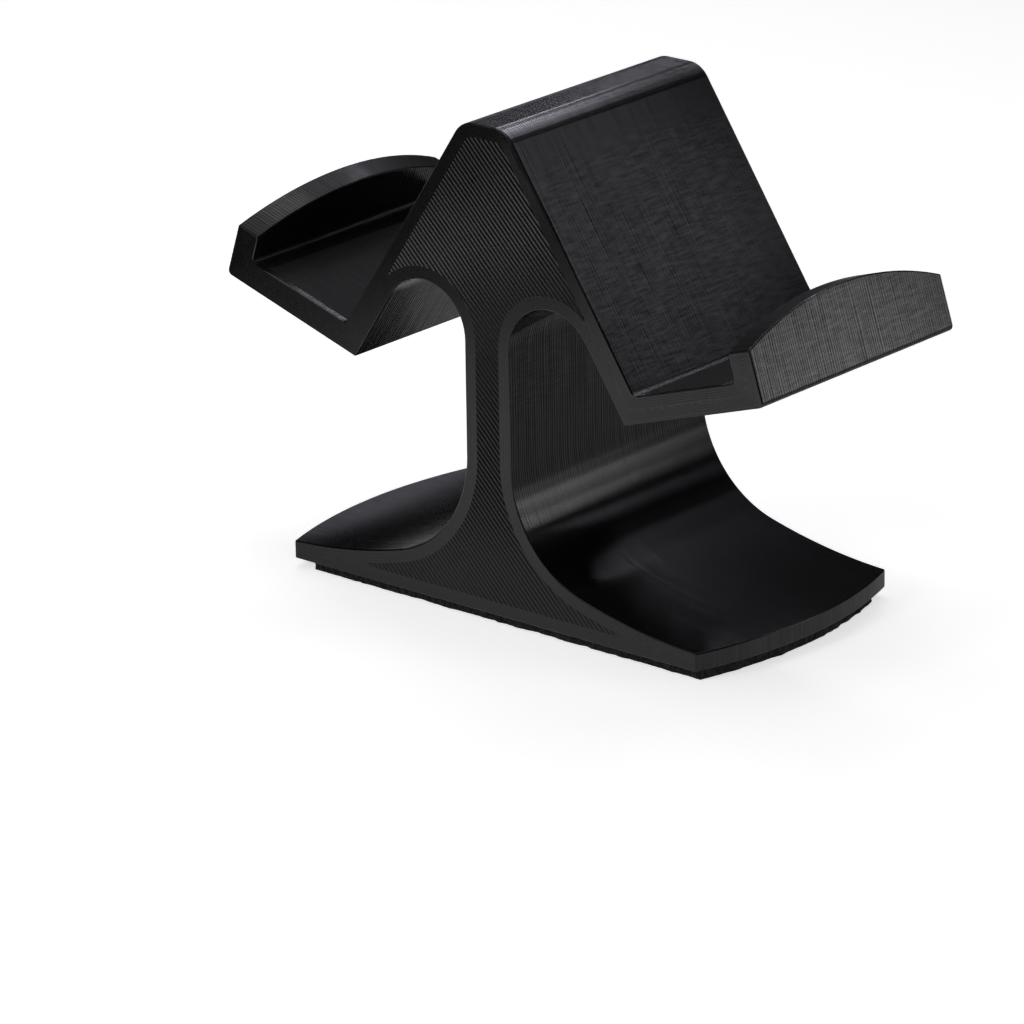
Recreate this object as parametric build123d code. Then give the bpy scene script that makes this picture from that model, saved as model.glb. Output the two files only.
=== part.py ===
from build123d import *
import os
from math import asin, cos, degrees, radians, sin

# A stand with two trays, printed in one piece as a single outline carried through the depth.
# It stands on a thin grip pad stuck under its foot.
# Millimetres: X across the two trays, Y from front to back, Z up from the pad's underside.

# Whole stand
depth = 55.0
stand_height = 91.7  # from the foot's underside to the ridge

# Column, and the ridge above it, which is as wide
column_width = 10.4
ridge_radius = 5.0
arch_radius = 9.5  # between the column and a wall's underside

# Sloping walls
wall_angle = 56.7  # degrees from level
wall_length = 51.8  # from the ridge corner down to the tray floor
wall_thickness = 5.0

# Trays
floor_angle = 17.6  # degrees, rising outward
floor_length = 23.8
floor_thickness = 5.0
lip_thickness = 5.0
lip_end_height = 5.3  # above the floor, at the front and back
lip_crown_height = 10.5  # above the floor, half way through the depth
inner_corner_radius = 1.2
lip_corner_radius = 1.0

# Foot
foot_length = 95.0  # at its four corners
foot_bulge = 4.6  # further out, half way through the depth
foot_tip_height = 3.4
outer_sweep_radius = 114.0
inner_sweep_radius = 22.4

# Grip pad
pad_thickness = 1.6
pad_margin = 2.5  # cut smaller than the foot all round
pad_shift_x = 2.2  # laid by hand, a little off centre
pad_shift_y = -1.8

# How far a trimming solid reaches past what it trims
trim = 3.0


def round_corner(face, corner, radius):
    """Rounds the corner of a flat outline that lies at the given point."""
    return fillet(face.vertices().sort_by_distance(corner)[0], radius)


def beyond_arc(end_height, crown_height):
    """Everything past a shallow arc that spans the depth, with the depth along X and the crown along Y."""
    half = depth / 2
    far = crown_height + trim
    arc = ThreePointArc((-half, end_height), (0, crown_height), (half, end_height))
    rest = Polyline(
        (half, end_height),
        (half + trim, end_height),
        (half + trim, far),
        (-half - trim, far),
        (-half - trim, end_height),
        (-half, end_height),
    )
    return make_face(arc + rest)


def foot_plan():
    """The foot seen from above: straight along the front and back, with both ends bowed outward."""
    half = depth / 2
    corner = foot_length / 2
    tip = corner + foot_bulge
    right = ThreePointArc((corner, -half), (tip, 0), (corner, half))
    left = ThreePointArc((-corner, half), (-tip, 0), (-corner, -half))
    front = Line((-corner, -half), (corner, -half))
    back = Line((corner, half), (-corner, half))
    return make_face(front + right + back + left)


# Directions in the outline: down a wall and square to it, along a tray floor and square to it.
wall_slope = radians(wall_angle)
floor_slope = radians(floor_angle)
down_wall = Vector(cos(wall_slope), -sin(wall_slope))
off_wall = Vector(sin(wall_slope), cos(wall_slope))
along_floor = Vector(cos(floor_slope), sin(floor_slope))
off_floor = Vector(-sin(floor_slope), cos(floor_slope))

# Corners of one half of the outline, from the foot's underside, before any rounding.
column_side = column_width / 2
ridge_corner = Vector(column_side, stand_height)
floor_inner = ridge_corner + down_wall * wall_length
floor_outer = floor_inner + along_floor * floor_length
lip_stock_height = lip_crown_height + trim
lip_inner_top = floor_outer + off_floor * lip_stock_height
lip_outer_top = lip_inner_top + along_floor * lip_thickness
lip_bottom = floor_outer + along_floor * lip_thickness - off_floor * floor_thickness

# Under a tray the wall's lower face runs on to the floor's lower face.
fold = wall_slope + floor_slope
run_past = (floor_thickness - wall_thickness * cos(fold)) / sin(fold)
tray_underside = floor_inner - off_wall * wall_thickness + down_wall * run_past

# Under the ridge the wall's lower face is carried up to the column's side.
wall_under_ridge = ridge_corner - off_wall * wall_thickness
arch_corner = wall_under_ridge + down_wall * ((column_side - wall_under_ridge.X) / cos(wall_slope))

# The foot's top leaves the tip level, on a wide arc, and a tighter arc takes it up into the column.
foot_tip = foot_length / 2 + foot_bulge
sweep_offset = foot_tip - column_side - inner_sweep_radius
sweep_turn = degrees(asin(sweep_offset / (outer_sweep_radius - inner_sweep_radius)))
outer_sweep = JernArc((foot_tip, foot_tip_height), (-1, 0), outer_sweep_radius, -sweep_turn)
inner_sweep = JernArc(outer_sweep @ 1, outer_sweep % 1, inner_sweep_radius, sweep_turn - 90)

foot_edge = Polyline((0, 0), (foot_tip, 0), (foot_tip, foot_tip_height))
upper_edge = Polyline(
    inner_sweep @ 1,
    arch_corner,
    tray_underside,
    lip_bottom,
    lip_outer_top,
    lip_inner_top,
    floor_outer,
    floor_inner,
    ridge_corner,
    (0, stand_height),
    (0, 0),
)
outline = make_face(foot_edge + outer_sweep + inner_sweep + upper_edge)
outline = round_corner(outline, arch_corner, arch_radius)
outline = round_corner(outline, ridge_corner, ridge_radius)
outline = round_corner(outline, floor_inner, inner_corner_radius)
outline = round_corner(outline, floor_outer, inner_corner_radius)
outline = round_corner(outline, lip_bottom, lip_corner_radius)

# One half of the stand, with its lip and foot still square through the depth.
half_stand = extrude(Plane.XZ * outline, depth / 2, both=True)

# The lip's top is arched: highest half way through the depth.
lip_cut_start = floor_outer - along_floor * trim
lip_plane = Plane(
    origin=(lip_cut_start.X, 0, lip_cut_start.Y),
    x_dir=(0, 1, 0),
    z_dir=(along_floor.X, 0, along_floor.Y),
)
lip_cut_length = lip_thickness + 2 * trim
half_stand -= extrude(lip_plane * beyond_arc(lip_end_height, lip_crown_height), lip_cut_length)

# The foot's end is bowed in plan.
foot_plane = Plane(origin=(0, 0, foot_tip_height + trim), x_dir=(0, 1, 0), z_dir=(0, 0, -1))
foot_cut_height = foot_tip_height + 2 * trim
half_stand -= extrude(foot_plane * beyond_arc(foot_length / 2, foot_tip), foot_cut_height)

stand_body = Pos(0, 0, pad_thickness) * (half_stand + mirror(half_stand, about=Plane.YZ))

# The grip pad follows the foot's plan, smaller all round.
pad_outline = offset(foot_plan(), -pad_margin)
base_grip_pad = Pos(pad_shift_x, pad_shift_y, 0) * extrude(pad_outline, pad_thickness)

os.makedirs("parts", exist_ok=True)
export_step(stand_body, "parts/stand_body.step")
export_step(base_grip_pad, "parts/base_grip_pad.step")
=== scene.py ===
import bpy
import numpy as np
from mathutils import Matrix, Vector, geometry


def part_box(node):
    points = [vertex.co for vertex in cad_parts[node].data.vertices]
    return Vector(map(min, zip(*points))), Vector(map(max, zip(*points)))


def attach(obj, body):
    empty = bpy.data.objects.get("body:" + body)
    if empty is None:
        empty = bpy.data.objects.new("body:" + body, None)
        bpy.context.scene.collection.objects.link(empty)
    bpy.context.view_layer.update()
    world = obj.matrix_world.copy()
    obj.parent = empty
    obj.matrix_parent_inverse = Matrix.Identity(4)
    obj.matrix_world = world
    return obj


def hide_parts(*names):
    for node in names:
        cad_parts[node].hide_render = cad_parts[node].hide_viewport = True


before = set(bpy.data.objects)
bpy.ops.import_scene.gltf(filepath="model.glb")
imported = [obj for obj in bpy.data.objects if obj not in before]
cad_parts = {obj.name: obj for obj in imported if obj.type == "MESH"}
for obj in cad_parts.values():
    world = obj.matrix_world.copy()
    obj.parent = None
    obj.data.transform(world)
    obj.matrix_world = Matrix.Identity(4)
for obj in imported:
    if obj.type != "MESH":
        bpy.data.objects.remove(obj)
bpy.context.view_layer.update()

# The view: a long lens, a little over a metre away, looks down on the stand from its front right corner.
# Lengths are in millimetres, apart from those in the materials and the studio, which are in metres.
MM = 0.001
view_turn, view_lift, view_roll = np.radians((40.5, 19.73, -0.82))
view_distance = 1185.1
view_offset = (13.27, 35.05)
aim_height = 50.6
lens_length = 230.1

towards_lens = np.array(
    (np.sin(view_turn) * np.cos(view_lift), -np.cos(view_turn) * np.cos(view_lift), np.sin(view_lift))
)
level_right = np.array((np.cos(view_turn), np.sin(view_turn), 0.0))
level_up = np.cross(towards_lens, level_right)
frame_right = np.cos(view_roll) * level_right + np.sin(view_roll) * level_up
frame_up = -np.sin(view_roll) * level_right + np.cos(view_roll) * level_up
lens_place = (
    np.array((0.0, 0.0, aim_height))
    + towards_lens * view_distance
    - frame_right * view_offset[0]
    - frame_up * view_offset[1]
)
camera_data = bpy.data.cameras.new("camera")
camera_data.sensor_width = 36.0
camera_data.lens = lens_length
camera_data.clip_end = 20.0
camera = bpy.data.objects.new("camera", camera_data)
bpy.context.scene.collection.objects.link(camera)
turned = Matrix(np.column_stack((frame_right, frame_up, towards_lens)).tolist())
camera.matrix_world = Matrix.Translation((lens_place * MM).tolist()) @ turned.to_4x4()
bpy.context.scene.camera = camera

# The stand: one printed piece of black plastic. Its outline, seen from the front, is laid down on the bed
# and built up layer on layer through the depth, so every wall carries fine lines that run round the
# outline, while the front and back show the loops and slanting passes of the first and last layer.
stand_low, stand_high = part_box("stand_body")
base = stand_low.z / MM
depth = (stand_high.y - stand_low.y) / MM
stand_height = (stand_high.z - stand_low.z) / MM

# Column, and the ridge above it
column_width = 10.4
ridge_radius = 5.0
arch_radius = 9.5  # between the column and a wall's underside

# Sloping walls
wall_slope = np.radians(56.7)
wall_length = 51.8  # from the ridge corner down to the tray floor
wall_thickness = 5.0

# Trays
floor_slope = np.radians(17.6)
floor_length = 23.8
floor_thickness = 5.0
lip_thickness = 5.0
lip_end_height = 5.3  # above the floor, at the front and back
lip_crown_height = 10.5  # above the floor, half way through the depth
inner_corner_radius = 1.2
lip_corner_radius = 1.0

# Foot
foot_length = 95.0  # at its four corners
foot_bulge = 4.6  # further out, half way through the depth
foot_tip_height = 3.4
outer_sweep_radius = 114.0
inner_sweep_radius = 22.4

# How far the nozzle rounds an edge that is drawn sharp, and one between a wall and the front or back face
soft_edge = 0.3
face_edge = 0.25

# Points along each arc of the outline, rows through the depth, and the width of the faces' net
soft_steps = 4
lip_corner_steps = 6
inner_corner_steps = 7
ridge_steps = 12
arch_steps = 24
outer_sweep_steps = 28
inner_sweep_steps = 40
depth_steps = 64
net_pitch = 0.8

# Directions in the outline: down a wall and square to it, along a tray floor and square to it.
down_wall = np.array((np.cos(wall_slope), -np.sin(wall_slope)))
off_wall = np.array((np.sin(wall_slope), np.cos(wall_slope)))
along_floor = np.array((np.cos(floor_slope), np.sin(floor_slope)))
off_floor = np.array((-np.sin(floor_slope), np.cos(floor_slope)))

# Corners of one half of the outline that are the same at every depth, from the foot's underside.
column_side = column_width / 2
ridge_corner = np.array((column_side, stand_height))
floor_inner = ridge_corner + down_wall * wall_length
floor_outer = floor_inner + along_floor * floor_length
lip_bottom = floor_outer + along_floor * lip_thickness - off_floor * floor_thickness
fold = wall_slope + floor_slope
run_past = (floor_thickness - wall_thickness * np.cos(fold)) / np.sin(fold)
tray_underside = floor_inner - off_wall * wall_thickness + down_wall * run_past
under_ridge = ridge_corner - off_wall * wall_thickness
arch_corner = under_ridge + down_wall * (column_side - under_ridge[0]) / np.cos(wall_slope)


def unit(vectors):
    """Each vector divided by its own length."""
    return vectors / np.linalg.norm(vectors, axis=-1, keepdims=True)


def crown(rows_y, end_height, crown_height):
    """Height of a circular arc over the depth: end_height at both ends, crown_height at y = 0."""
    half, rise = depth / 2, crown_height - end_height
    radius = (half**2 + rise**2) / (2 * rise)
    return crown_height - radius + np.sqrt(radius**2 - np.minimum(np.abs(rows_y), half) ** 2)


def round_corner(before, corner, after, radius, steps):
    """Points and directions along the arc that rounds a corner, for every row at once.

    The centre lies on the corner's bisector, radius / sin(half the corner's angle) from it, and the arc
    runs between the two points where it touches the sides.
    """
    back, ahead = unit(before - corner), unit(after - corner)
    half = np.arccos(np.clip((back * ahead).sum(-1, keepdims=True), -1, 1)) / 2
    centre = corner + unit(back + ahead) * radius / np.sin(half)
    first = corner + back * radius / np.tan(half) - centre
    last = corner + ahead * radius / np.tan(half) - centre
    start = np.arctan2(first[:, 1:], first[:, :1])
    sweep = np.arctan2(last[:, 1:], last[:, :1]) - start
    sweep = (sweep + np.pi) % (2 * np.pi) - np.pi
    angle = start + sweep * np.linspace(0, 1, steps)
    points = centre[:, None] + radius * np.stack((np.cos(angle), np.sin(angle)), -1)
    return points, np.sign(sweep)[:, :, None] * np.stack((-np.sin(angle), np.cos(angle)), -1)


def outline_rows(rows_y):
    """The stand's outline at each depth, as (rows, points, 2) in X and Z, with its unit directions.

    One half is drawn from the middle of the underside round to the middle of the ridge, corner by corner,
    then mirrored. Only the lip's height and the foot's tip change from row to row.
    """
    ones = np.ones((len(rows_y), 1))
    lip_height = crown(rows_y, lip_end_height, lip_crown_height)[:, None]
    lip_inner_top = floor_outer + off_floor * lip_height
    lip_outer_top = lip_inner_top + along_floor * lip_thickness

    # The foot's top leaves the furthest tip level, on a wide arc, and a tighter arc takes it to the column.
    far_tip = foot_length / 2 + foot_bulge
    tip = crown(rows_y, foot_length / 2, far_tip)[:, None]
    step_in = outer_sweep_radius - inner_sweep_radius
    join = np.arcsin((far_tip - column_side - inner_sweep_radius) / step_in)
    outer_centre = np.array((far_tip, foot_tip_height + outer_sweep_radius))
    inner_centre = outer_centre - step_in * np.array((np.sin(join), np.cos(join)))
    tip_angle = np.arcsin((far_tip - tip) / outer_sweep_radius)
    tip_top = outer_centre - outer_sweep_radius * np.hstack((np.sin(tip_angle), np.cos(tip_angle)))
    tip_bottom = np.hstack((tip, 0 * tip))
    inward = tip_top + np.hstack((-np.cos(tip_angle), np.sin(tip_angle)))
    outer_start = tip_angle + soft_edge / outer_sweep_radius
    outer_angles = outer_start + (join - outer_start) * np.linspace(0, 1, outer_sweep_steps)
    inner_angles = ones * np.linspace(join, np.pi / 2, inner_sweep_steps)[1:]
    column_foot = ones * (inner_centre - np.array((inner_sweep_radius, 0.0)))

    def sweep(centre, radius, angle):
        """Points of a sweep at each angle from straight down, and the direction up towards the column."""
        turn = np.stack((np.sin(angle), np.cos(angle)), -1)
        return centre - radius * turn, np.stack((-np.cos(angle), np.sin(angle)), -1)

    def still(point, way):
        """A point that is the same at every depth, and its direction."""
        return (ones * point)[:, None], (ones * way)[:, None]

    corners = (arch_corner, tray_underside, lip_bottom, floor_outer, floor_inner, ridge_corner)
    arch, underside, bottom, outer, inner, ridge = (ones * corner for corner in corners)
    ridge_middle = ones * (0.0, stand_height)
    pieces = [
        still((0.0, 0.0), (1.0, 0.0)),
        round_corner(0 * tip_bottom, tip_bottom, tip_top, soft_edge, soft_steps),
        round_corner(tip_bottom, tip_top, inward, soft_edge, soft_steps),
        sweep(outer_centre, outer_sweep_radius, outer_angles),
        sweep(inner_centre, inner_sweep_radius, inner_angles),
        round_corner(column_foot, arch, underside, arch_radius, arch_steps),
        round_corner(arch, underside, bottom, soft_edge, soft_steps),
        round_corner(underside, bottom, lip_outer_top, lip_corner_radius, lip_corner_steps),
        round_corner(bottom, lip_outer_top, lip_inner_top, soft_edge, soft_steps),
        round_corner(lip_outer_top, lip_inner_top, outer, soft_edge, soft_steps),
        round_corner(lip_inner_top, outer, inner, inner_corner_radius, inner_corner_steps),
        round_corner(outer, inner, ridge, inner_corner_radius, inner_corner_steps),
        round_corner(inner, ridge, ridge_middle, ridge_radius, ridge_steps),
        still((0.0, stand_height), (-1.0, 0.0)),
    ]
    points = np.concatenate([piece[0] for piece in pieces], 1)
    ways = np.concatenate([piece[1] for piece in pieces], 1)
    other_points = points[:, -2:0:-1] * (-1, 1)
    other_ways = ways[:, -2:0:-1] * (1, -1)
    return np.concatenate((points, other_points), 1), np.concatenate((ways, other_ways), 1)


def stand_walls():
    """The walls as one grid: the outline at each depth, rolled over a quarter circle at both faces.

    Returns points and normals as (rows, points, 3). The normal is the cross product of the surface's two
    directions, leaning over to the face's own normal on the rolled rows.
    """
    roll = np.radians((0.0, 30.0, 60.0))
    front_y = -depth / 2 + face_edge * (1 - np.cos(roll))
    middle_y = np.linspace(-depth / 2 + face_edge, depth / 2 - face_edge, depth_steps)
    rows_y = np.concatenate((front_y, middle_y, -front_y[::-1]))
    lean = np.concatenate((roll, np.full(depth_steps, np.pi / 2), roll[::-1]))[:, None, None]
    outline, ways = outline_rows(rows_y)
    flat = np.stack((outline[..., 0], rows_y[:, None] + 0 * outline[..., 0], outline[..., 1]), -1)
    round_way = np.stack((ways[..., 0], 0 * ways[..., 0], ways[..., 1]), -1)
    through_way = np.gradient(flat, axis=0)
    normals = unit(np.cross(through_way, round_way))
    facing = np.array((0.0, 1.0, 0.0)) * np.sign(rows_y)[:, None, None]
    points = flat - normals * face_edge * (1 - np.sin(lean))
    points[..., 1] = rows_y[:, None]
    return points, unit(normals * np.sin(lean) + facing * np.cos(lean))


def nearest_edge(spots, loop):
    """Each spot's distance to the closed outline, the direction away from it, and whether it lies inside.

    The nearest point on a stretch of the outline is the spot's projection, kept between the two ends.
    """
    ahead = np.roll(loop, -1, 0) - loop
    apart = spots[:, None] - loop[None]
    share = np.clip((apart * ahead).sum(-1) / (ahead**2).sum(-1), 0, 1)
    gap = apart - share[..., None] * ahead
    length = np.linalg.norm(gap, axis=-1)
    nearest = length.argmin(1)
    rows = np.arange(len(spots))
    away = gap[rows, nearest] / np.maximum(length[rows, nearest], 1e-9)[:, None]
    side = ahead[nearest, 0] * gap[rows, nearest, 1] - ahead[nearest, 1] * gap[rows, nearest, 0]
    return length[rows, nearest], away, side > 0


def edge_field(spots, loop):
    """What nearest_edge gives, worked out for one block of spots after another to save memory."""
    block_count = 24
    blocks = [nearest_edge(block, loop) for block in np.array_split(spots, block_count)]
    return [np.concatenate(part) for part in zip(*blocks)]


def face_sheet(loop):
    """A net of nearly equal triangles over the flat face inside the outline, as its spots and triangles.

    The spots lie in rows, every other row half a pitch along, and none lies close to the outline.
    """
    row_height = net_pitch * 0.866  # the height of a triangle with equal sides
    across = np.arange(loop[:, 0].min(), loop[:, 0].max(), net_pitch)
    upward = np.arange(loop[:, 1].min(), loop[:, 1].max(), row_height)
    grid = np.stack(np.meshgrid(across, upward), -1)
    grid[1::2, :, 0] += net_pitch / 2
    spots = grid.reshape(-1, 2)
    distance, _, inside = edge_field(spots, loop)
    spots = spots[inside & (distance > net_pitch / 2)]
    whole_loop = [list(range(len(loop)))]
    only_inside = 1
    tolerance = 1e-6
    places = np.concatenate((loop, spots)).tolist()
    net = geometry.delaunay_2d_cdt(places, [], whole_loop, only_inside, tolerance)
    return np.array(net[0]), np.array(net[2])


wall_points, wall_normals = stand_walls()
rows, around = wall_points.shape[:2]
grid_index = np.arange(rows * around).reshape(rows, around)
next_round = np.roll(grid_index, -1, 1)
wall_faces = np.stack((grid_index[:-1], grid_index[1:], next_round[1:], next_round[:-1]), -1).reshape(-1, 4)
stand_points = [wall_points.reshape(-1, 3)]
stand_normals = [wall_normals.reshape(-1, 3)]
face_triangles = []

# Each spot of a face also keeps its distance from the outline and the direction away from it, which the
# faces' finish follows. On the walls that direction is the reverse of the wall's own normal.
from_edge = [np.zeros(rows * around)]
across_loops = [wall_normals.reshape(-1, 3) * (-1, 0, -1)]
for row, facing in ((0, -1.0), (rows - 1, 1.0)):
    loop = wall_points[row][:, (0, 2)]
    spots, triangles = face_sheet(loop)
    distance, away, _ = edge_field(spots, loop)
    level = np.full(len(spots), facing * depth / 2)
    offset = sum(len(block) for block in stand_points)
    stand_points.append(np.stack((spots[:, 0], level, spots[:, 1]), -1))
    stand_normals.append(np.tile((0.0, facing, 0.0), (len(spots), 1)))
    face_triangles.append((triangles if facing < 0 else triangles[:, ::-1]) + offset)
    from_edge.append(distance + face_edge)
    across_loops.append(np.stack((away[:, 0], 0 * away[:, 0], away[:, 1]), -1))

just_within = (0.99998, 1.0, 1.0)  # keeps the lips' rounded coordinates inside the CAD box
stand_points = np.concatenate(stand_points) * just_within + (0.0, 0.0, base)
stand_normals = np.concatenate(stand_normals)
face_triangles = np.concatenate(face_triangles)

stand_mesh = bpy.data.meshes.new("printed_stand")
stand_mesh.from_pydata((stand_points * MM).tolist(), [], wall_faces.tolist() + face_triangles.tolist())
edge_data = stand_mesh.attributes.new("from_edge", "FLOAT", "POINT").data
edge_data.foreach_set("value", np.concatenate(from_edge) * MM)
across_data = stand_mesh.attributes.new("across_loops", "FLOAT_VECTOR", "POINT").data
across_data.foreach_set("vector", np.concatenate(across_loops).ravel())
stand_mesh.shade_smooth()
stand_mesh.normals_split_custom_set_from_vertices(stand_normals.tolist())
stand = bpy.data.objects.new("printed_stand", stand_mesh)
bpy.context.scene.collection.objects.link(stand)


class Signal:
    """An output socket of a material. Operators on it add Math nodes, and node() adds any other node."""

    def __init__(self, tree, socket):
        self.tree, self.socket = tree, socket

    def node(self, kind, settings, inputs, output=0):
        """Adds a node of that type: first its settings, then a value or a link for each socket."""
        made = self.tree.nodes.new(kind)
        for name, value in settings.items():
            setattr(made, name, value)
        for name, value in inputs.items():
            if isinstance(value, Signal):
                self.tree.links.new(value.socket, made.inputs[name])
            else:
                made.inputs[name].default_value = value
        return Signal(self.tree, made.outputs[output])

    def into(self, shader, name):
        """Feeds the shader's socket of that name."""
        self.tree.links.new(self.socket, shader.inputs[name])

    def maths(self, operation, *values):
        """Adds a Math node on the values, in their order."""
        return self.node("ShaderNodeMath", {"operation": operation}, dict(enumerate(values)))

    def sine(self):
        """The sine of the signal, in radians."""
        return self.maths("SINE", self)

    def __abs__(self):
        return self.maths("ABSOLUTE", self)

    def __gt__(self, other):
        return self.maths("GREATER_THAN", self, other)

    def __lt__(self, other):
        return self.maths("LESS_THAN", self, other)

    def __add__(self, other):
        return self.maths("ADD", self, other)

    def __radd__(self, other):
        return self.maths("ADD", other, self)

    def __sub__(self, other):
        return self.maths("SUBTRACT", self, other)

    def __rsub__(self, other):
        return self.maths("SUBTRACT", other, self)

    def __mul__(self, other):
        return self.maths("MULTIPLY", self, other)

    def __rmul__(self, other):
        return self.maths("MULTIPLY", other, self)

    def __truediv__(self, other):
        return self.maths("DIVIDE", self, other)

    def __rtruediv__(self, other):
        return self.maths("DIVIDE", other, self)


def new_finish(name):
    """A material, its Principled shader, and the signal of the place on the piece, in metres."""
    finish = bpy.data.materials.new(name)
    finish.use_nodes = True
    shader = finish.node_tree.nodes["Principled BSDF"]
    place = finish.node_tree.nodes.new("ShaderNodeTexCoord")
    return finish, shader, Signal(finish.node_tree, place.outputs["Object"])


def coordinates(place):
    """The X, Y and Z of a place as three signals."""
    return [place.node("ShaderNodeSeparateXYZ", {}, {"Vector": place}, axis) for axis in "XYZ"]


def noise(place, stretch, detail=2.0, roughness=0.5):
    """Noise from 0 to 1 at that many cells a metre along X, Y and Z."""
    scaled = place.node("ShaderNodeMapping", {}, {"Vector": place, "Scale": stretch})
    return place.node(
        "ShaderNodeTexNoise",
        {"noise_dimensions": "3D"},
        {"Vector": scaled, "Scale": 1.0, "Detail": detail, "Roughness": roughness},
    )


def ramp(signal, low, high):
    """0 below low, 1 above high, and a smooth rise between."""
    return signal.node(
        "ShaderNodeMapRange",
        {"interpolation_type": "SMOOTHSTEP"},
        {"Value": signal, "From Min": low, "From Max": high, "To Min": 0.0, "To Max": 1.0},
    )


def band(signal, low, high):
    """1 between low and high, and 0 outside."""
    return (signal > low) * (signal < high)


def tint(share, first, second):
    """The first colour turning into the second as the share goes from 0 to 1."""
    inputs = {0: share, 6: first, 7: second}
    colour_output = 2
    return share.node("ShaderNodeMix", {"data_type": "RGBA"}, inputs, colour_output)


def add_vectors(first, second):
    """The sum of two vectors."""
    return first.node("ShaderNodeVectorMath", {"operation": "ADD"}, {0: first, 1: second})


def scale_vector(vector, length):
    """A vector times a signal."""
    return length.node("ShaderNodeVectorMath", {"operation": "SCALE"}, {0: vector, "Scale": length})


def lean_normal(place, lean):
    """The surface's own normal leaned over by a vector, and made one long again."""
    own = place.node("ShaderNodeNewGeometry", {}, {}, "Normal")
    leaned = add_vectors(own, lean)
    return place.node("ShaderNodeVectorMath", {"operation": "NORMALIZE"}, {0: leaned})


# The walls' finish: black plastic laid in 0.2 mm layers. Each bead is a rounded ridge that runs round the
# outline, so light spreads out through the depth. Slips of the layers show as lines, strongest on the lips,
# with long streaks low down on the foot and faint cross hatching on the sloping walls, trays and lips.
layer_height = 0.0002
line_pitch = 0.0006  # every third layer stands out a little
wall_black = (0.016, 0.016, 0.0165, 1.0)
# The darker black below is painted shade, for the grooves between slipped layers and for the foot's top.
wall_painted_groove_shade = (0.004, 0.004, 0.0042, 1.0)

# Heights over which a kind of mark comes in or fades, and for the lips the distance from the middle
streaks_fade = (0.010, 0.015)
foot_top_begins = (0.0048, 0.0056)
foot_top_fades = (0.012, 0.020)
hatching_begins = (0.030, 0.045)
hatching_fades = (0.084, 0.090)
lip_begins = (0.053, 0.056)

# How strong each kind of mark is among the lines
line_strength = 0.27
slip_strength = 0.45
streak_strength = 0.6
lip_gain = 0.25
line_drift = 9.0  # radians that the lines drift where the layers slip slowly

wall_finish, shader, place = new_finish("layered_plastic")
x, y, z = coordinates(place)
low_down = 1 - ramp(z, *streaks_fade)
on_shaded_foot_top = ramp(z, *foot_top_begins) * (1 - ramp(z, *foot_top_fades))
cross_hatched = ramp(z, *hatching_begins) * (1 - ramp(z, *hatching_fades))
on_lip = ramp(abs(x), *lip_begins)
layer_wave = (y * (2 * np.pi / layer_height)).sine()
slip = noise(place, (80.0, 2200.0, 80.0), 1.0) - 0.5
slow_slip = noise(place, (30.0, 500.0, 30.0), 1.0) - 0.5
long_streaks = noise(place, (12.0, 1400.0, 12.0)) - 0.5
ripple = (noise(place, (2300.0, 300.0, 2300.0), 0.0) - 0.5) * cross_hatched
line_wave = (y * (2 * np.pi / line_pitch) + slow_slip * line_drift).sine()
fine_lines = (line_wave * line_strength + slip * slip_strength) * (on_lip * lip_gain + 1)
lines = fine_lines * (1 - low_down) + long_streaks * low_down * streak_strength

# The tray floors: the middle field is duller than the rest. A narrow strip along the front edge keeps the
# common shine, and beside the lip the beads lean up to it and stay dark. The crest of each lip is duller.
strip_width = 0.0013
floor_stretch = (0.0008, 0.0236)  # from the wall's foot outward, between the rounded corners
band_start = 0.0205
crest_stretch = (0.0239, 0.0286)  # between the inner and the outer face of the lip
crest_height = 0.004  # above the floor
floor_tolerance = 0.0002
outward = abs(x) - floor_inner[0] * MM
upward = z - (floor_inner[1] + base) * MM
along = outward * along_floor[0] + upward * along_floor[1]
above = upward * along_floor[0] - outward * along_floor[1]
on_floor = band(above, -floor_tolerance, floor_tolerance) * band(along, *floor_stretch)
in_band = on_floor * (along > band_start)
past_strip = y > -depth / 2 * MM + strip_width
in_field = on_floor * (1 - in_band) * past_strip
on_strip = (1 - in_band) * (1 - past_strip)
on_crest = band(along, *crest_stretch) * (above > crest_height)

# How far the surface leans: over each layer and line through the depth, over the hatching across it, and
# up to the lip in the dark band. Low down the beads lie flatter, and on the tray floors they stand higher.
layer_lean = 0.08
line_lean = 0.30
hatching_lean = 0.06
band_lean = 0.45
low_flatness = 0.60
through = layer_wave * layer_lean + lines * line_lean
lean_x = ripple * hatching_lean + in_band * band_lean * x.maths("SIGN", x)
lean_y = through * (on_floor + 1) * (1 - low_down * low_flatness)
lean_z = ripple * hatching_lean
lean = place.node("ShaderNodeCombineXYZ", {}, {"X": lean_x, "Y": lean_y, "Z": lean_z})
lean_normal(place, lean).into(shader, "Normal")

# The nozzle presses the beads flat and leaves a glossy skin, thinner in the lines and in the hatching. The
# colour follows the skin and falls to painted shade in the grooves between slipped layers. On the foot's
# top the skin is thinner and the colour is painted darker, painted shade. The tray floors have none of the
# skin but on their strips, and the lips' crests have less.
wall_skin = 0.30
lines_in_skin = 0.8
hatching_in_skin = 0.42
foot_top_painted_shade = 0.75
crest_loss = 0.6
strip_skin = 0.05
wall_black_gain = 1.7
shader.inputs["Specular IOR Level"].default_value = 0.15
shader.inputs["Coat Roughness"].default_value = 0.13
skin_and_painted_shade = (lines * lines_in_skin + ripple * hatching_in_skin + wall_skin) * (1 - on_shaded_foot_top * foot_top_painted_shade)
# The colour: the plastic's black, falling to painted shade in the grooves and on the foot's top.
tint(skin_and_painted_shade * wall_black_gain, wall_painted_groove_shade, wall_black).into(shader, "Base Color")
coat = skin_and_painted_shade * (1 - on_floor * (1 - on_strip)) * (1 - on_crest * crest_loss)
coat = coat + on_floor * on_strip * strip_skin
coat.into(shader, "Coat Weight")

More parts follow.
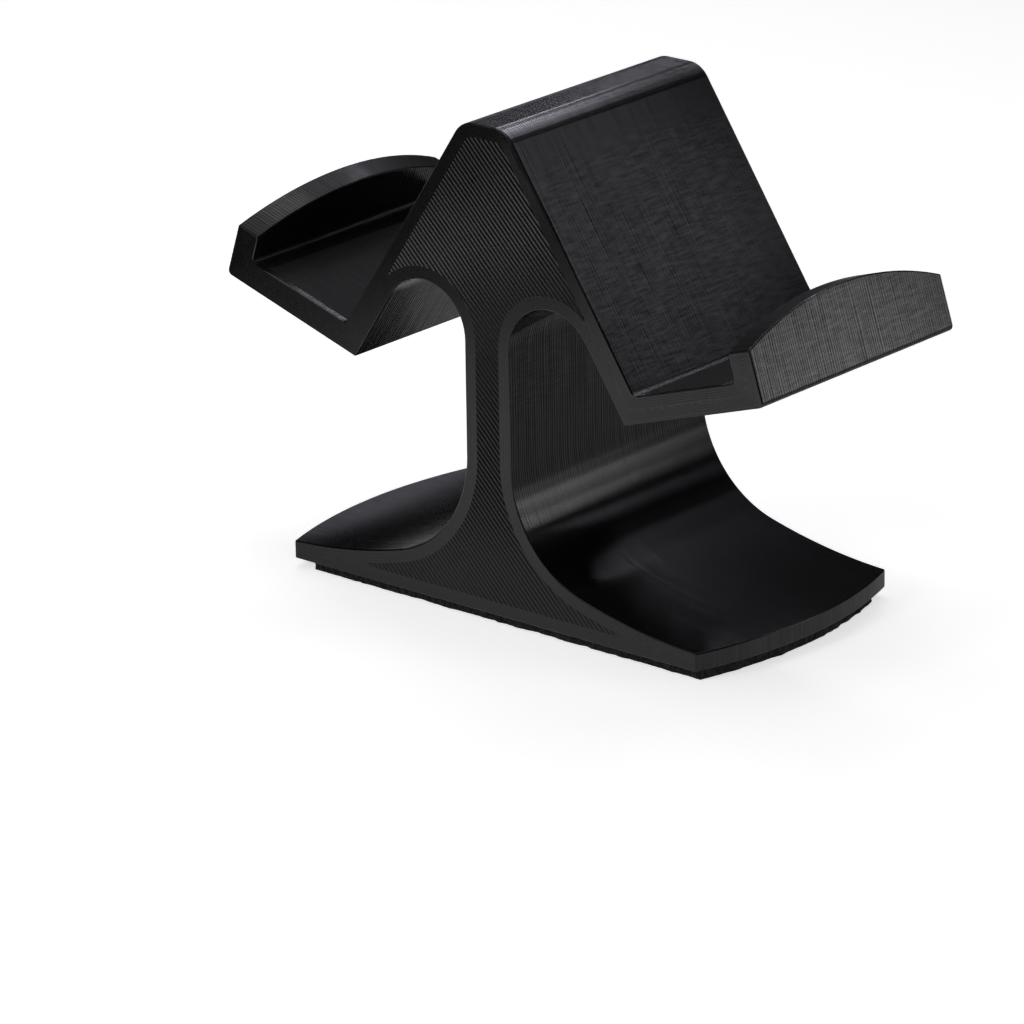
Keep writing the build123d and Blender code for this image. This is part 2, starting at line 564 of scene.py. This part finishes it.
# Roughness: uneven from layer to layer, and more on the foot, the trays' middle field and the lips' crests
least_wall_roughness = 0.12
layer_roughness = 0.05
low_roughness = 0.06
field_roughness = 0.43
crest_roughness = 0.25
dullness = noise(place, (60.0, 1500.0, 60.0)) * layer_roughness + least_wall_roughness
dullness = dullness + low_down * low_roughness + in_field * field_roughness + on_crest * crest_roughness
dullness.into(shader, "Roughness")

# The front and back faces' finish: the same plastic in flat beads. Six loops follow the outline and darken
# towards the upper left. Inside them slanting passes, laid there and back in pairs, catch the light as
# bright and dark lines, and the dark part of each pair is also painted darker, painted shade in the groove;
# the trays, the lips and the foot's ends have loops alone.
bead_width = 0.00042
pair_pitch = 0.000844
loops_width = 0.00253
passes_reach = 0.0316  # how far from the middle the passes go
wander_width = 0.0005
# After the second share of a pair the colour falls to painted groove shade.
bright_part = (0.22, 0.42)  # of a pair: bright before the first, dark after the second
low_passes = (0.008, 0.040)
upper_left_slant = 0.35
upper_left_begins = (0.045, 0.088)
face_black = (0.007, 0.007, 0.007, 1.0)
# The darker black below is painted shade, in the grooves between passes and the valleys between loops.
face_painted_groove_shade = (0.003, 0.003, 0.003, 1.0)

face_finish, shader, place = new_finish("beaded_face")
x, _, z = coordinates(place)
edge = place.node("ShaderNodeAttribute", {"attribute_name": "from_edge"}, {}, "Fac")
away = place.node("ShaderNodeAttribute", {"attribute_name": "across_loops"}, {}, "Vector")
in_passes = (edge > loops_width) * band(x, -passes_reach, passes_reach)
wander = (noise(place, (90.0, 90.0, 90.0), 1.0) - 0.5) * wander_width
across_passes = ((x + z) / np.sqrt(2) + wander) / pair_pitch
across_pair = across_passes.maths("FRACT", across_passes)
low_down = 1 - ramp(z, *low_passes)
upper_left = ramp(z - x * upper_left_slant, *upper_left_begins)
loop_wave = (edge * (2 * np.pi / bead_width)).sine() * (1 - in_passes)
grain = noise(place, (2400.0, 2400.0, 2400.0), 0.0) - 0.5

# How far the surface leans: across each loop, across each pair of passes, and upwards at the upper left
loop_lean = 0.15
least_pass_lean = 0.52
patchy_pass_lean = 0.3
low_lean_loss = 0.45
upper_left_lean = 0.28
across_passes_way = (0.7071, 0.0, 0.7071)
patchy = noise(place, (70.0, 70.0, 70.0)) * patchy_pass_lean + least_pass_lean
pass_lean = across_pair * in_passes * patchy * (1 - low_down * low_lean_loss)
loop_vector = scale_vector(away, loop_wave * loop_lean)
pass_vector = scale_vector(across_passes_way, pass_lean)
top_vector = place.node("ShaderNodeCombineXYZ", {}, {"Z": upper_left * upper_left_lean})
lean = add_vectors(add_vectors(loop_vector, pass_vector), top_vector)
lean_normal(place, lean).into(shader, "Normal")

# How bright the beads are, which the colour and the glossy skin both follow. The colour's dark parts, in
# the grooves between passes and in the valleys between loops, are painted shade; the grain is the plastic's
# uneven tone.
low_contrast_loss = 0.35
loop_contrast = 0.25
grain_contrast = 0.7
face_black_gain = 0.8
face_skin = 0.26
upper_left_loss = 0.60
low_skin_loss = 0.40
shader.inputs["Specular IOR Level"].default_value = 0.25
shader.inputs["Coat Roughness"].default_value = 0.25
bead_top = 1 - ramp(across_pair, *bright_part) * in_passes * (1 - low_down * low_contrast_loss)
beads = bead_top * (1 + loop_wave * loop_contrast + grain * grain_contrast)
tint(beads * face_black_gain, face_painted_groove_shade, face_black).into(shader, "Base Color")
bright_loops = 1 - upper_left * (1 - in_passes) * upper_left_loss
coat = beads * bright_loops * (1 - low_down * low_skin_loss) * face_skin
coat.into(shader, "Coat Weight")

# Roughness, in fine patches
least_face_roughness = 0.20
patchy_roughness = 0.10
dullness = noise(place, (900.0, 900.0, 900.0)) * patchy_roughness + least_face_roughness
dullness.into(shader, "Roughness")

stand_mesh.materials.append(wall_finish)
stand_mesh.materials.append(face_finish)
finish_index = np.concatenate((np.zeros(len(wall_faces), int), np.ones(len(face_triangles), int)))
stand_mesh.polygons.foreach_set("material_index", finish_index)
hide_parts("stand_body")
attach(stand, "root")

# The grip pad: a thin sheet of dull black cellular rubber, cut with a knife a little smaller than the foot
# and stuck under it by hand. Its cut edge is slightly lumpy.
pad_low, pad_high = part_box("base_grip_pad")
pad_middle = np.array(((pad_low.x + pad_high.x) / 2, (pad_low.y + pad_high.y) / 2)) / MM
pad_depth = (pad_high.y - pad_low.y) / MM
pad_length = (pad_high.x - pad_low.x) / MM
pad_thickness = (pad_high.z - pad_low.z) / MM
end_steps = 150
pad_levels = 6
through_lump = 0.12  # size of the lumps that run through the whole thickness
level_lump = 0.05  # size of those that change from level to level
cut_in = 0.22  # how far inside the drawn outline the cut lies on average
painted_pit_shade = (0.004, 0.004, 0.004, 1.0)
rubber_black = (0.045, 0.045, 0.045, 1.0)
cell_rim = (0.35, 0.65)  # part of the noise over which an open cell turns into rubber


def pad_edge(steps):
    """The pad's outline: straight along the front and back, and at each end the foot's own arc, moved in.

    The arc's radius is the foot's less the margin, and both come from the depth and the bulge.
    """
    half = depth / 2
    radius = (half**2 + foot_bulge**2) / (2 * foot_bulge) - (depth - pad_depth) / 2
    reach = np.arcsin(pad_depth / 2 / radius)
    angle = np.linspace(-reach, reach, steps)
    right = np.stack((pad_length / 2 - radius + radius * np.cos(angle), radius * np.sin(angle)), -1)
    share = np.linspace(0, 1, 2 * steps)[1:-1, None]
    back = right[-1] * (1 - share) + right[-1] * (-1, 1) * share
    return np.concatenate((right, back, -right, -back))


pad_loop = pad_edge(end_steps)
pad_out = unit(np.roll(pad_loop, -1, 0) - np.roll(pad_loop, 1, 0))[:, ::-1] * (1, -1)
randomly = np.random.default_rng(7)
levels = np.linspace(0, 1, pad_levels)


def lumps(count, rows, widths):
    """Random bumps round the edge, one row for each level: noise smoothed over several widths and added."""
    total = np.zeros((rows, count))
    for width in widths:
        kernel = np.hanning(2 * width + 1)
        kernel = kernel / np.sqrt((kernel**2).sum())
        raw = randomly.normal(size=(rows, count + 2 * width))
        total += np.array([np.convolve(line, kernel, "valid") for line in raw])
    return total / len(widths)


count = len(pad_loop)
lump = lumps(count, pad_levels, (2, 4))
shared_lump = lumps(count, 1, (4, 9))
out_by = through_lump * shared_lump + level_lump * lump - cut_in
side = pad_loop[None] + pad_out[None] * out_by[..., None]
pad_rows = np.concatenate((side, (levels * pad_thickness)[:, None, None] + 0 * side[..., :1]), -1)
pad_rows[..., :2] += pad_middle
pad_index = np.arange(pad_levels * count).reshape(pad_levels, count)
pad_next = np.roll(pad_index, -1, 1)
pad_sides = np.stack((pad_index[:-1], pad_next[:-1], pad_next[1:], pad_index[1:]), -1).reshape(-1, 4)
pad_faces = pad_sides.tolist() + [pad_index[0, ::-1].tolist(), pad_index[-1].tolist()]
pad_mesh = bpy.data.meshes.new("grip_pad")
pad_mesh.from_pydata((pad_rows.reshape(-1, 3) * MM).tolist(), [], pad_faces)
pad = bpy.data.objects.new("grip_pad", pad_mesh)
bpy.context.scene.collection.objects.link(pad)

pad_finish, shader, place = new_finish("cellular_rubber")
cells = noise(place, (1100.0, 1100.0, 1100.0), 3.0, 0.6)
# The rubber's colour is mottled and darkest in the open cells, the pits of the bump: painted shade in the
# pits.
tint(ramp(cells, *cell_rim), painted_pit_shade, rubber_black).into(shader, "Base Color")
shader.inputs["Roughness"].default_value = 0.85
shader.inputs["Specular IOR Level"].default_value = 0.3
bump = place.node("ShaderNodeBump", {}, {"Height": cells, "Distance": 0.0004, "Strength": 0.8})
bump.into(shader, "Normal")
pad_mesh.materials.append(pad_finish)
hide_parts("base_grip_pad")
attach(pad, "root")

# The studio: a pale floor that looks white by itself and darkens only where the stand keeps the lamps off
# it. Only in what the plastic mirrors, the floor also glows in a painted pool of light in front of the
# stand, which is no lamp and fades away from its centre.
floor_pale = (0.9, 0.9, 0.9, 1.0)
floor_glow = 0.67
reach = 3.0  # of the floor, to each side
floor_drop = 0.00002  # below the pad, so that the two surfaces don't touch
painted_pool_centre = (0.05, -0.15, 0.0)
painted_pool_fades = (0.12, 0.20)  # from its centre
painted_pool_strength = 0.6
floor_mesh = bpy.data.meshes.new("floor")
corners = [(-reach, -reach, 0), (reach, -reach, 0), (reach, reach, 0), (-reach, reach, 0)]
floor_mesh.from_pydata(corners, [], [(0, 1, 2, 3)])
floor = bpy.data.objects.new("floor", floor_mesh)
floor.location.z = -floor_drop
bpy.context.scene.collection.objects.link(floor)
floor_finish, shader, place = new_finish("pale_floor")
shader.inputs["Base Color"].default_value = floor_pale
shader.inputs["Roughness"].default_value = 1.0
shader.inputs["Specular IOR Level"].default_value = 0.0
shader.inputs["Emission Strength"].default_value = 1.0
seen = place.node("ShaderNodeLightPath", {}, {}, "Is Camera Ray")
mirrored = place.node("ShaderNodeLightPath", {}, {}, "Is Glossy Ray")
mirrored = mirrored + place.node("ShaderNodeLightPath", {}, {}, "Is Transmission Ray")
ends = {0: place, 1: painted_pool_centre}
from_painted_pool = place.node("ShaderNodeVectorMath", {"operation": "DISTANCE"}, ends, "Value")
# A painted pool of light: the floor glows for mirrored rays near the stand, fading with distance.
painted_pool = (1 - ramp(from_painted_pool, *painted_pool_fades)) * painted_pool_strength
white_floor_and_painted_pool = seen * floor_glow + mirrored * painted_pool
white_floor_and_painted_pool_colour = place.node("ShaderNodeCombineXYZ", {}, {"X": white_floor_and_painted_pool, "Y": white_floor_and_painted_pool, "Z": white_floor_and_painted_pool})
white_floor_and_painted_pool_colour.into(shader, "Emission Color")
floor_mesh.materials.append(floor_finish)

world = bpy.data.worlds.new("studio")
bpy.context.scene.world = world
world.use_nodes = True
world.node_tree.nodes["Background"].inputs["Strength"].default_value = 0.0

# The lamps: three high ones light the floor and the tops, and two small ones the front face. A row of soft
# boxes behind the stand, and a short one low on the right, put the long highlights on its walls.
cool = (0.885, 0.88, 1.0)
white = (1.0, 1.0, 1.0)
back_row_y = 0.45
right_row_place = (0.435, 0.276)
right_row_towards = (-0.69, -0.724, 0.0)
right_row_width = 0.25


def soft_box(name, centre, towards, width, height, radiance, colour=white):
    """A rectangular lamp that shines in one direction, with the power that gives it that radiance."""
    data = bpy.data.lights.new(name, "AREA")
    data.shape = "RECTANGLE"
    data.size, data.size_y, data.color = width, height, colour
    data.energy = radiance * np.pi * width * height
    lamp = bpy.data.objects.new(name, data)
    lamp.location = centre
    lamp.rotation_euler = Vector(towards).to_track_quat("-Z", "Y").to_euler()
    bpy.context.scene.collection.objects.link(lamp)


def back_box(name, x, z, width, height, radiance, colour=cool):
    """A soft box of the row behind the stand, facing straight forward."""
    soft_box(name, (x, back_row_y, z), (0.0, -1.0, 0.0), width, height, radiance, colour)


def right_box(name, z, height, radiance):
    """A soft box of the row low on the right, one above the other."""
    soft_box(name, (*right_row_place, z), right_row_towards, right_row_width, height, radiance)


soft_box("overhead", (0.0, 0.0, 0.9), (0.0, 0.0, -1.0), 0.4, 0.4, 2.5)
soft_box("high_back_left", (-0.4, 0.3, 0.8), (0.4, -0.3, -0.77), 0.3, 0.3, 3.2)
soft_box("high_front_left", (-0.35, -0.45, 0.65), (0.35, 0.45, -0.62), 0.3, 0.3, 2.2)
soft_box("front_left", (-0.095, -0.33, 0.205), (0.2, 1.0, -0.2), 0.09, 0.11, 4.8)
soft_box("front_middle", (-0.028, -0.33, 0.155), (0.1, 1.0, -0.2), 0.055, 0.05, 3.0)
back_box("back_far_left", -0.44, 0.20, 0.12, 0.08, 0.6)
back_box("back_left_low", -0.365, 0.34, 0.07, 0.07, 4.6)
back_box("back_left", -0.295, 0.434, 0.07, 0.075, 2.8)
back_box("back_left_high", -0.21, 0.517, 0.10, 0.087, 9.5)
back_box("back_middle", -0.10, 0.542, 0.12, 0.081, 8.5)
back_box("back_middle_right", 0.02, 0.557, 0.12, 0.086, 6.5)
back_box("back_right_high", 0.14, 0.54, 0.12, 0.095, 4.1)
back_box("back_right_edge", 0.25, 0.465, 0.10, 0.08, 0.6)
back_box("back_right", 0.345, 0.36, 0.09, 0.12, 1.5)
back_box("back_right_low", 0.435, 0.225, 0.09, 0.09, 4.0, white)
back_box("back_right_bottom", 0.435, 0.12, 0.09, 0.12, 1.3, white)
right_box("low_right_bottom", 0.03, 0.06, 1.1)
right_box("low_right", 0.08, 0.04, 2.4)
right_box("low_right_upper", 0.12, 0.04, 1.4)
right_box("low_right_top", 0.165, 0.05, 0.5)

bpy.context.scene.view_settings.view_transform = "Standard"
